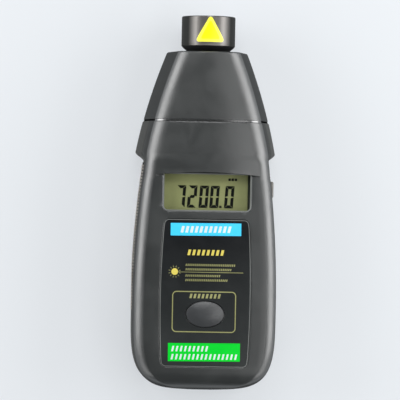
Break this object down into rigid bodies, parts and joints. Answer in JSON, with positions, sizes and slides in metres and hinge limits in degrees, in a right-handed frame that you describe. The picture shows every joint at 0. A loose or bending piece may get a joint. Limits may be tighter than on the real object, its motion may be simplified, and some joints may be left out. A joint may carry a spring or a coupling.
{
  "type": "laser tachometer",
  "caption": "Hand-held non-contact tachometer: two-shell case with tapered head, lens barrel, digital display, oval face button, side button and sliding battery cover.",
  "frame": {"origin": "centre of the flat back that the instrument lies on, under the middle of its outline", "axes": "+Y from the rounded bottom end to the lens, +Z out of the face, +X to the right when the face is read"},
  "size_m": [0.0722, 0.1858, 0.0369],
  "materials": {
    "case_plastic": "satin dark grey moulded plastic",
    "rear_plastic": "satin dark grey moulded plastic",
    "barrel_metal": "satin grey turned metal",
    "lens_glass": "clear polished",
    "dark_steel": "blackened",
    "bright_steel": "nickel plated",
    "brass": "turned",
    "inner_plastic": "black moulded",
    "clear_plastic": "clear",
    "display_cell": "grey-green liquid crystal cell",
    "rubber": "soft",
    "board_laminate": "green solder mask",
    "chip_resin": "moulded resin",
    "can_sleeve": "shrink sleeve",
    "button_plastic": "satin dark grey",
    "side_button_plastic": "satin grey",
    "overlay_film": "printed film",
    "cell_jacket": "plain printed jacket",
    "red_wire": "insulation",
    "black_wire": "insulation",
    "ribbon_cable": "insulation"
  },
  "bodies": {
    "case": {"front_shell": "case_plastic", "rear_shell": "rear_plastic", "head_cap": "case_plastic", "lens_barrel": "barrel_metal", "objective_lens": "lens_glass", "lens_ring": "dark_steel", "optic_block": "inner_plastic", "laser_module": "brass", "photo_sensor": "bright_steel", "sensor_board": "board_laminate", "display_window": "clear_plastic", "lcd_glass": "display_cell", "display_frame": "inner_plastic", "contact_strip_1": "rubber", "contact_strip_2": "rubber", "main_board": "board_laminate", "processor_chip": "chip_resin", "quartz_crystal": "bright_steel", "capacitor": "can_sleeve", "memory_switch": "inner_plastic", "test_switch": "inner_plastic", "test_board": "board_laminate", "front_overlay": "overlay_film", "cell_1": "cell_jacket", "cell_2": "cell_jacket", "cell_3": "cell_jacket", "cell_4": "cell_jacket", "cell_spring_1": "bright_steel", "cell_spring_2": "bright_steel", "cell_spring_3": "bright_steel", "cell_spring_4": "bright_steel", "cell_contact_1": "bright_steel", "cell_contact_2": "bright_steel", "cell_contact_3": "bright_steel", "cell_contact_4": "bright_steel", "cell_contact_5": "bright_steel", "case_screw_1": "dark_steel", "case_screw_2": "dark_steel", "case_screw_3": "dark_steel", "case_screw_4": "dark_steel", "board_screw_1": "dark_steel", "board_screw_2": "dark_steel", "battery_lead_1": "red_wire", "battery_lead_2": "black_wire", "sensor_lead": "ribbon_cable"},
    "memory_key": {"memory_button": "button_plastic", "memory_plunger": "button_plastic"},
    "test_key": {"test_button": "side_button_plastic", "test_plunger": "button_plastic"},
    "cover": {"battery_cover": "rear_plastic"}
  },
  "joints": [
    {"name": "memory_press", "type": "slide", "parent": "case", "child": "memory_key", "axis": [0, 0, -1], "range_m": [0, 0.001], "stiffness_N_per_m": 1500},
    {"name": "test_press", "type": "slide", "parent": "case", "child": "test_key", "axis": [-1, 0, 0], "range_m": [0, 0.0012], "stiffness_N_per_m": 1500},
    {"name": "cover_slide", "type": "slide", "parent": "case", "child": "cover", "axis": [0, -1, 0], "range_m": [0, 0.072]}
  ]
}
